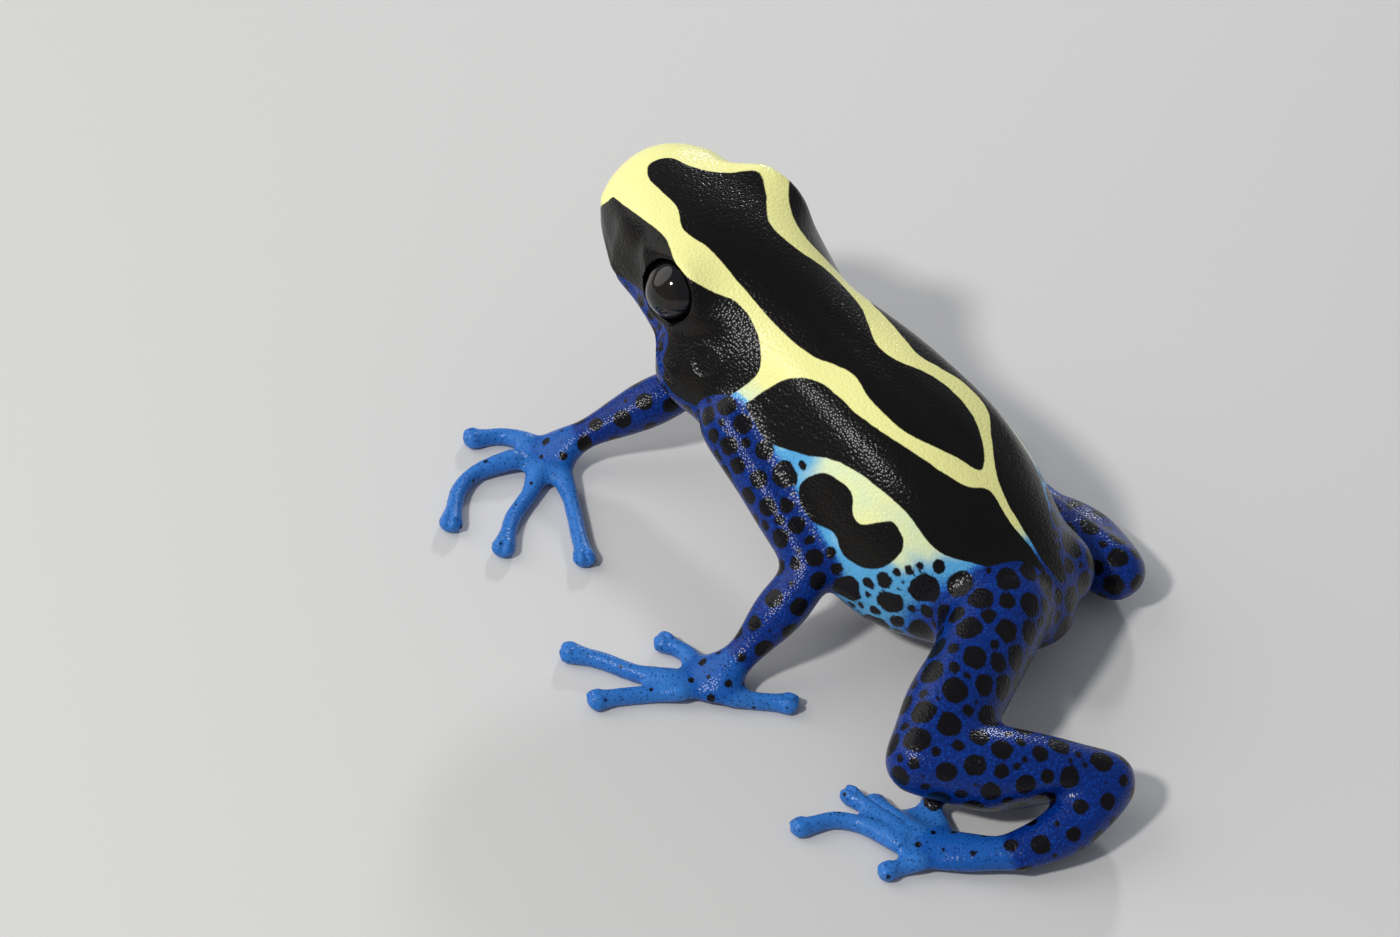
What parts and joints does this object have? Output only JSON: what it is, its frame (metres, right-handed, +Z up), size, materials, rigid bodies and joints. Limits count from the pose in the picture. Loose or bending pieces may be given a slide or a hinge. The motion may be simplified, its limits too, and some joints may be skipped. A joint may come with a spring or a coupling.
{
  "type": "dyeing poison dart frog",
  "caption": "Life-size still model of a poison dart frog, head raised, one arm reaching ahead and one hind leg folded at its side; a display piece that rests on its palms and toes.",
  "frame": {"origin": "middle of the footprint on the surface that the frog rests on", "axes": "+Z up, the frog faces -Y, its left side is +X"},
  "size_m": [0.0428, 0.057, 0.0222],
  "materials": {
    "body_skin": "wet granular skin, black with lemon yellow lines that turn cyan on the flank",
    "limb_skin": "wet granular deep blue skin with round black spots",
    "hand_and_foot_skin": "wet lighter blue skin with fine dark specks",
    "eye": "polished near-black eye"
  },
  "bodies": {
    "root": {"head": "body_skin", "torso": "body_skin", "eye_left": "eye", "eye_right": "eye", "upper_arm_left": "limb_skin", "forearm_left": "limb_skin", "hand_left": "hand_and_foot_skin", "finger_left_1": "hand_and_foot_skin", "finger_left_2": "hand_and_foot_skin", "finger_left_3": "hand_and_foot_skin", "finger_left_4": "hand_and_foot_skin", "thigh_left": "limb_skin", "shank_left": "limb_skin", "tarsus_left": "limb_skin", "foot_left": "hand_and_foot_skin", "toe_left_1": "hand_and_foot_skin", "toe_left_2": "hand_and_foot_skin", "toe_left_3": "hand_and_foot_skin", "toe_left_4": "hand_and_foot_skin", "toe_left_5": "hand_and_foot_skin", "upper_arm_right": "limb_skin", "forearm_right": "limb_skin", "hand_right": "hand_and_foot_skin", "finger_right_1": "hand_and_foot_skin", "finger_right_2": "hand_and_foot_skin", "finger_right_3": "hand_and_foot_skin", "finger_right_4": "hand_and_foot_skin", "thigh_right": "limb_skin", "shank_right": "limb_skin", "tarsus_right": "limb_skin", "foot_right": "hand_and_foot_skin", "toe_right_1": "hand_and_foot_skin", "toe_right_2": "hand_and_foot_skin", "toe_right_3": "hand_and_foot_skin", "toe_right_4": "hand_and_foot_skin", "toe_right_5": "hand_and_foot_skin"}
  },
  "joints": []
}
